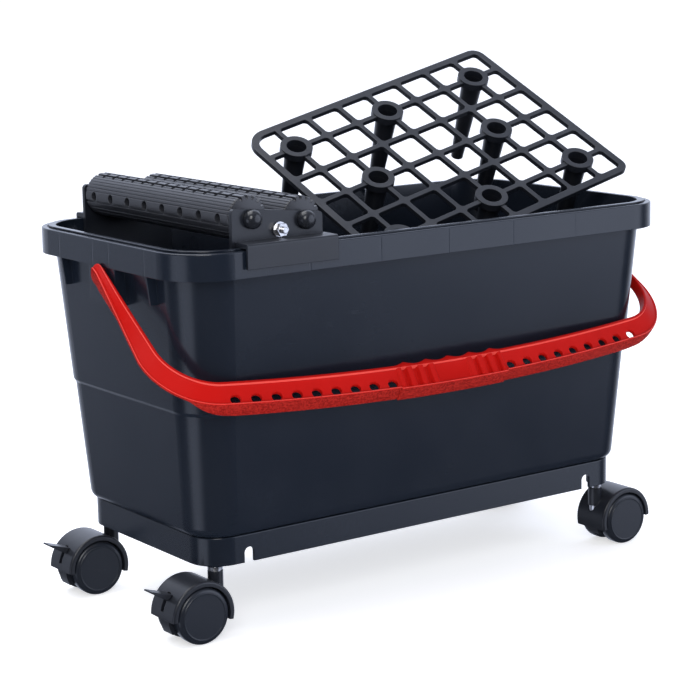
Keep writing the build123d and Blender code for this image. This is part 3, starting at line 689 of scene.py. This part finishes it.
def bail_section(zone, t):
    """Closed section of the bail at a station, as points (x, y, height), inner foot first.

    The small offsets in the list of points round the section's edges.
    """
    where = "arm" if zone == "end" else zone
    along = 0.0 if zone == "end" else t
    inner = Vector(edge_at(ARM_IN, SPAN_IN, BOW_IN, CORNER_IN, where, along))
    outer = Vector(edge_at(ARM_OUT, SPAN_OUT, BOW_OUT, CORNER_OUT, where, along))
    squeeze = 1.0
    if zone == "end":
        inner.y = outer.y = HUB_R * t
        squeeze = math.sqrt(max(0.0, 1 - t * t))
    if where == "arm":
        outer.x = ARM_IN + ARM_END_W + (ARM_OUT - ARM_IN - ARM_END_W) * ramp(-outer.y, 0.0, ARM_TAPER)
    x = abs(inner.x)
    past = ramp(-outer.y, ARM_SHALLOW, ARM_DEEP)
    edge = ARM_LIP + (SPAN_LIP - ARM_LIP) * past
    bar, wave, sink = 0.0, 0.0, ARM_SINK + (WEB_SINK - ARM_SINK) * past
    if zone == "span" and x < GRIP_END:
        bar = grip_bar(x)
        wave = 1 - math.sqrt(math.sin(math.pi * x / FINGER_PITCH) ** 2 + FINGER_SOFT)
        wave = FINGER_OUT * max(0.0, wave)
        inner.y += wave
        outer.y -= GRIP_BULGE
        sink = GROOVE_SINK if GRIP_BARS[0][1] < x < GRIP_BARS[-1][0] else WEB_SINK
    width = (outer - inner).length
    full = ramp(width, NARROW, WIDE)
    side = (outer - inner).normalized()
    foot_out = bail_foot(outer.y)
    foot_in = REST_FOOT + (bail_foot(inner.y) - REST_FOOT) * ramp(x, SHORT_WALL_END, DEEP_WALL_START)
    ridge, lip, wall = (share * width + (size - share * width) * full for share, size in (RIDGE, LIP, WALL))
    ridge += wave
    low_in = BAIL_TOP - CREST_DROP - sink * full * (1 - bar)
    low_out = edge + LIP_RISE - (sink - LIP_SINK_LESS) * full * (1 - bar)
    under_in, under_out = foot_in + FOOT_FILL, foot_out + FOOT_FILL
    if full > 0.5:
        under_in, under_out = low_in - WEB_IN, max(low_out - WEB_OUT, foot_out + FOOT_CLEAR)
    points = [
        (0.0, foot_in + 0.5),
        (0.0, BAIL_TOP - 1.0),
        (0.3, BAIL_TOP - 0.3),
        (1.0, BAIL_TOP),
        (ridge - 0.7, BAIL_TOP),
        (ridge - 0.1, BAIL_TOP - 0.3),
        (ridge + 0.3, low_in + 0.25),
        (ridge + 0.8, low_in - 0.1),
        (width - lip - 0.8, low_out + 0.25),
        (width - lip - 0.25, low_out + 0.3),
        (width - lip, edge - 0.1),
        (width - 0.8, edge + 0.05),
        (width - 0.25, edge - 0.1),
        (width, edge - 0.7),
        (width, foot_out + 0.6),
        (width - 0.2, foot_out + 0.15),
        (width - 0.7, foot_out),
        (width - wall + 0.4, foot_out),
        (width - wall, foot_out + 0.4),
        (width - wall - 0.2, under_out),
        (wall + 0.3, under_in),
        (wall, foot_in + 0.4),
        (wall - 0.4, foot_in),
        (0.5, foot_in),
    ]
    return [(inner.x + side.x * d, inner.y + side.y * d, h * squeeze) for d, h in points]


# Columns of the section's outline that form its crests and its outer wall, and the finish of each by number:
# the crests carry a painted highlight, and the outer wall a grained red that is partly painted shade.
CREST_HIGHLIGHT_COLUMNS = (5, 11)
OUTER_WALL_GRAIN_SHADE_COLUMNS = (13, 14)
BAIL_SKINS = {**dict.fromkeys(OUTER_WALL_GRAIN_SHADE_COLUMNS, 1), **dict.fromkeys(CREST_HIGHLIGHT_COLUMNS, 2)}


def make_bail():
    """The bail: ridged and recessed ribbon with raised grip bars, finger waves, holes and pivot pins."""
    half = [bail_section(zone, t) for zone, t in bail_rail()]
    sections = half + [[(-x, y, h) for x, y, h in ring] for ring in reversed(half[:-1])]
    shape = patch(
        len(half[0]),
        len(sections) - 1,
        lambda column, row: bail_point(*sections[row][column]),
        lambda column: BAIL_SKINS.get(column, 0),
    )
    bail = settle(shape, "bail_moulding", BAIL_SMOOTH_DEG)
    # Plain red, then the grained outer wall with its partly painted shade, then the crests' painted
    # highlight.
    dress(bail, bail_finish, bail_grain_and_shade, bail_painted_highlight)
    cutter = bmesh.new()
    for k in range(HOLE_COUNT):
        x = HOLE_X0 + k * HOLE_PITCH
        y = -SPAN_OUT + HOLE_IN + BOW_OUT * (x / ARM_OUT) ** 2
        for side in (1, -1):
            low, high = (bail_point(side * x, y, h) for h in (HOLE_LOW, HOLE_HIGH))
            flat = HOLE_HALF_W / HOLE_HALF_L
            rod(cutter, low, high, HOLE_HALF_L, segments=28, flat=flat, lie=(1.0, 0.0, 0.0))
    drill(bail, cutter, BAIL_SMOOTH_DEG)
    shape = bmesh.new()
    shape.from_mesh(bail.data)
    for side in (1, -1):
        tip = (side * PIN_END, 0, BAIL_PIVOT_Z)
        root = (side * (ARM_IN + PIN_LAP), 0, BAIL_PIVOT_Z)
        rod(shape, tip, root, PIN_R, segments=40)
    shape.to_mesh(bail.data)
    shape.free()
    soften_shading(bail.data, BAIL_SMOOTH_DEG)
    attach(bail, "bail")
    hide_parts("handle", "handle_arms")


make_bail()


# Rollers

# Ring cuts between the teeth: count, width, depth and slope, in millimetres.
RING_CUTS, RING_CUT_W, RING_CUT_D, RING_SLOPE = 13, 4.0, 2.8, 0.3

# The toothed part of a roller, in degrees from its top, and its rows of teeth.
TOOTH_FROM, TOOTH_TO, TOOTH_ROWS = 200.0, 390.0, 10

# Drain holes: count, radius, distance of the last one from the end, and depth.
DRAIN_HOLES, DRAIN_R, DRAIN_END, DRAIN_DEEP = 8, 4.2, 16.2, 11.0

# Grooves along a roller, as (half width in degrees, depth): flutes, the one channel, and between teeth.
FLUTE, CHANNEL, TOOTH_GAP = (0.9, 0.4), (1.8, 1.5), (3.2, 2.4)

# Their places in degrees from the top: flutes over the channel, the channel itself, and flutes under it.
UPPER_FLUTES = [30.0 + 9.2 * k for k in range(6)]
CHANNEL_AT = 103.5
LOWER_FLUTES = [122.0 + 13.0 * k for k in range(6)]

# Steps round a roller in degrees; beside a groove, the room kept, its edge and the fade of its depth.
ROUND_STEPS, ROUND_STEP = 120, 3.0
GROOVE_ROOM, GROOVE_EDGE, GROOVE_FADE = 1.2, 0.9, 0.85

# Rounded end of a roller, as (distance from the end, how far in).
ROLLER_END = ((0.0, 1.5), (0.4, 0.6), (1.5, 0.0))
ROLLER_BORE = 5.2
ROLLER_SMOOTH_DEG = 24.0


def turned_off(angle, at):
    """Degrees between two directions, the short way round."""
    return abs((angle - at + 180) % 360 - 180)


def roller_outline(radius):
    """Points round a roller as (angle from the top towards -X, radius, radius inside a ring cut)."""
    row_pitch = (TOOTH_TO - TOOTH_FROM) / TOOTH_ROWS
    grooves = [(at, *FLUTE) for at in UPPER_FLUTES]
    grooves.append((CHANNEL_AT, *CHANNEL))
    grooves += [(at, *FLUTE) for at in LOWER_FLUTES]
    grooves += [(TOOTH_FROM + row_pitch * (k + 0.5), *TOOTH_GAP) for k in range(TOOTH_ROWS)]
    angles = {ROUND_STEP * k for k in range(ROUND_STEPS)}
    for at, half, _ in grooves:
        angles = {a for a in angles if turned_off(a, at) > half + GROOVE_ROOM}
        angles |= {(at + d) % 360 for d in (-half - GROOVE_EDGE, -half, half, half + GROOVE_EDGE)}
    outline = []
    for angle in sorted(angles):
        deep = 0.0
        for at, half, depth in grooves:
            off = turned_off(angle, at)
            deep = max(deep, depth * (1 - ramp(off, half, half + GROOVE_FADE)))
        toothed = angle >= TOOTH_FROM or angle <= TOOTH_TO - 360
        cut = max(deep, RING_CUT_D) if toothed else deep
        outline.append((math.radians(angle), radius - deep, radius - cut))
    return outline


def roller_stations(half):
    """Places along a roller as (y, in a ring cut, how far the edge is rounded in)."""
    end = [(-half + y, False, inset) for y, inset in ROLLER_END]
    stations = list(end)
    pitch = 2 * half / (RING_CUTS + 1)
    wide = RING_CUT_W / 2
    for k in range(RING_CUTS):
        y = -half + (k + 1) * pitch
        stations += [(y - wide - RING_SLOPE, False, 0.0), (y - wide, True, 0.0)]
        stations += [(y + wide, True, 0.0), (y + wide + RING_SLOPE, False, 0.0)]
    return stations + [(-y, cut, inset) for y, cut, inset in reversed(end)]


def make_roller(where):
    """A roller with toothed rows on one half, fine flutes and a row of drain holes on the other."""
    low, high = (Vector(corner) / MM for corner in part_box("roller_" + where))
    middle = (low + high) / 2
    radius = (high.x - low.x) / 2
    half = (high.y - low.y) / 2
    outline = roller_outline(radius)
    stations = roller_stations(half)

    def place(column, row):
        angle, full, cut = outline[column]
        y, in_cut, inset = stations[row]
        r = (cut if in_cut else full) - inset
        return (middle.x - r * math.sin(angle), y, middle.z + r * math.cos(angle))

    shape = patch(len(outline), len(stations) - 1, place)
    roller = settle(shape, "ribbed_roller_" + where, ROLLER_SMOOTH_DEG)
    dress(roller, roller_finish)
    cutter = bmesh.new()
    near, far = ((middle.x, y, middle.z) for y in (-half - CUT_PAST, half + CUT_PAST))
    rod(cutter, near, far, ROLLER_BORE, segments=40)
    for k in range(DRAIN_HOLES):
        y = (half - DRAIN_END) * (2 * k / (DRAIN_HOLES - 1) - 1)
        x = middle.x - radius
        rod(cutter, (x - CUT_PAST, y, middle.z), (x + DRAIN_DEEP, y, middle.z), DRAIN_R)
    drill(roller, cutter, ROLLER_SMOOTH_DEG)
    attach(roller, where + "_roller")
    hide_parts("roller_" + where)


make_roller("outer")
make_roller("inner")


# Wheels

# Blind bore and the web that closes it, in millimetres, and the steps round a wheel.
WHEEL_BORE, WHEEL_WEB, WHEEL_STEPS = 3.4, 2.2, 72

# Turned outline, as (in from the tread's radius, in from the back or from the face).
WHEEL_BACK = ((1.6, 0.0), (0.5, 0.4), (0.0, 1.5))
RAISED_EDGE = ((3.7, 0.5), (4.0, 0.1), (4.4, 0.0), (5.0, 0.1))
DISC_EDGE, DISC_SINK = 5.3, 0.35

# The shoulder between tread and face: radius, depth where it starts, rise, and the angles of its points.
SHOULDER_R, SHOULDER_START, SHOULDER_RISE = 3.3, 4.3, 3.6
SHOULDER_ANGLES = range(0, 91, 15)
WHEEL_SMOOTH_DEG = 30.0

WHEEL_NODES = [row["node"] for row in frame["record"]["subparts"] if row["node"].startswith("caster_wheel_")]


def make_wheel(node):
    """A turned wheel: flat outer disc with a fine raised edge, rounded shoulder, tread and blind bore."""
    low, high = (Vector(corner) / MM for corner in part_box(node))
    middle = (low + high) / 2
    radius = (high.x - low.x) / 2
    out = -1 if node.endswith("_front") else 1
    face = low.y if out < 0 else high.y
    back = high.y if out < 0 else low.y
    profile = [(0.0, face - out * WHEEL_WEB), (WHEEL_BORE, face - out * WHEEL_WEB), (WHEEL_BORE, back)]
    profile += [(radius - r, back + out * y) for r, y in WHEEL_BACK]
    for a in SHOULDER_ANGLES:
        turn = math.radians(a)
        rise = SHOULDER_START - SHOULDER_RISE * math.sin(turn)
        profile.append((radius - SHOULDER_R + SHOULDER_R * math.cos(turn), face - out * rise))
    profile += [(radius - r, face - out * y) for r, y in RAISED_EDGE]
    profile += [(radius - DISC_EDGE, face - out * DISC_SINK), (0.0, face - out * DISC_SINK)]
    shape = bmesh.new()
    chain = [shape.verts.new(Vector((middle.x + r, y, middle.z)) * MM) for r, y in profile]
    edges = [shape.edges.new(pair) for pair in zip(chain, chain[1:])]
    bmesh.ops.spin(
        shape,
        geom=chain + edges,
        cent=middle * MM,
        axis=(0.0, 1.0, 0.0),
        angle=2 * math.pi,
        steps=WHEEL_STEPS,
        use_merge=True,
    )
    bmesh.ops.remove_doubles(shape, verts=shape.verts, dist=MERGE)
    bmesh.ops.recalc_face_normals(shape, faces=shape.faces)
    wheel = settle(shape, node.replace("caster_wheel", "turned_wheel"), WHEEL_SMOOTH_DEG)
    dress(wheel, wheel_finish)
    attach(wheel, node.replace("caster_", ""))
    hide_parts(node)


for wheel_node in WHEEL_NODES:
    make_wheel(wheel_node)


# Camera, floor and light

# The camera: place and aim in metres, roll, lens and sensor in millimetres, reach, and framing shift.
CAMERA_PLACE, CAMERA_AIM = (-1.1450, -1.5900, 0.5907), (0.0, 0.0, 0.2117)
CAMERA_ROLL = math.radians(-1.02)
LENS, SENSOR, CLIP_END = 108.8425, 36.0, 200.0
SHIFT_X, SHIFT_Y = -0.00941, -0.00371

# The floor: half its width in metres, its own glow, and the two whites that it drifts between.
FLOOR_HALF, FLOOR_GLOW = 45.0, 0.6
FLOOR_TONES = ((0.90, 0.90, 0.905), (0.92, 0.92, 0.92))

# Brightness of the surround where nothing lights it, and its colour.
SURROUND = 0.06
SURROUND_TINT = (0.74, 0.81, 1.0)

# Bright areas of the surround: direction, cosines where each starts and is full, and brightness.
GLOWS = (
    ((0.58, 0.81, 0.20), 0.30, 0.92, 1.40),
    ((0.00, 0.00, 1.00), 0.20, 1.00, 0.40),
    ((0.70, -0.71, 0.15), 0.87, 0.955, 2.20),
    ((-0.50, 0.86, 0.05), 0.90, 0.98, 0.40),
    ((-0.97, -0.05, -0.22), 0.92, 0.975, 1.30),
)


def photo_camera():
    """The photograph's viewpoint: place, aim, roll, lens and framing shift."""
    data = bpy.data.cameras.new("photo_camera")
    data.sensor_width = SENSOR
    data.lens = LENS
    data.shift_x = SHIFT_X
    data.shift_y = SHIFT_Y
    data.clip_end = CLIP_END
    camera = bpy.data.objects.new("photo_camera", data)
    scene.collection.objects.link(camera)
    place = Vector(CAMERA_PLACE)
    back = (place - Vector(CAMERA_AIM)).normalized()
    right = Vector((0.0, 0.0, 1.0)).cross(back).normalized()
    up = back.cross(right)
    c, s = math.cos(CAMERA_ROLL), math.sin(CAMERA_ROLL)
    across = right * c + up * s
    above = up * c - right * s
    camera.matrix_world = Matrix((across, above, back)).transposed().to_4x4()
    camera.matrix_world.translation = place
    scene.camera = camera


def softbox(name, place, aim, width, height, radiance):
    """A soft rectangular light that faces aim; radiance is its brightness, whatever its size."""
    data = bpy.data.lights.new(name, "AREA")
    data.shape = "RECTANGLE"
    data.size = width
    data.size_y = height
    data.energy = radiance * math.pi * width * height
    light = bpy.data.objects.new(name, data)
    scene.collection.objects.link(light)
    light.location = place
    light.rotation_euler = (Vector(aim) - Vector(place)).to_track_quat("-Z", "Y").to_euler()


def pale_floor():
    """A wide white floor that glows a little, so that only soft contact shadows show on it."""
    shape = bmesh.new()
    bmesh.ops.create_grid(shape, x_segments=2, y_segments=2, size=FLOOR_HALF)
    floor = settle(shape, "studio_floor")
    material, tree, shader, vector = start_finish("studio_floor")
    tone = mix_colour(tree, noise(tree, vector, scale=1.5), *FLOOR_TONES)
    tree.links.new(tone, shader.inputs["Base Color"])
    shader.inputs["Roughness"].default_value = 0.7
    shader.inputs["Specular IOR Level"].default_value = 0.1
    shader.inputs["Emission Color"].default_value = (1.0, 1.0, 1.0, 1.0)
    shader.inputs["Emission Strength"].default_value = FLOOR_GLOW
    floor.visible_glossy = False
    dress(floor, material)


def surround():
    """A dim studio with a bright backdrop behind the bucket and a few soft panels, white to the lens."""
    world = bpy.data.worlds.new("studio_surround")
    world.use_nodes = True
    tree = world.node_tree
    direction = tree.nodes.new("ShaderNodeTexCoord").outputs["Generated"]
    total = SURROUND
    for aim, low, high, gain in GLOWS:
        dot = tree.nodes.new("ShaderNodeVectorMath")
        dot.operation = "DOT_PRODUCT"
        tree.links.new(direction, dot.inputs[0])
        dot.inputs[1].default_value = Vector(aim).normalized()
        glow = band(tree, dot.outputs["Value"], low, high, 0.0, gain, smooth=True)
        total = maths(tree, "ADD", glow, total)
    seen = tree.nodes.new("ShaderNodeLightPath").outputs["Is Camera Ray"]
    background = tree.nodes["Background"]
    unseen = maths(tree, "MULTIPLY", total, maths(tree, "SUBTRACT", 1.0, seen))
    colour = mix_colour(tree, seen, SURROUND_TINT, (1.0, 1.0, 1.0))
    tree.links.new(colour, background.inputs["Color"])
    tree.links.new(maths(tree, "MAXIMUM", seen, unseen), background.inputs["Strength"])
    scene.world = world


def studio():
    """The floor, the surround, one softbox overhead and one beside the camera."""
    pale_floor()
    surround()
    softbox(
        "overhead_box",
        place=(-0.55, 0.35, 2.3),
        aim=(0.0, 0.0, 0.3),
        width=2.2,
        height=1.6,
        radiance=3.2,
    )
    softbox(
        "key_box",
        place=(-1.7, -2.3, 1.7),
        aim=(0.0, 0.0, 0.2),
        width=1.4,
        height=1.4,
        radiance=6.5,
    )


photo_camera()
studio()
scene.view_settings.view_transform = "Standard"
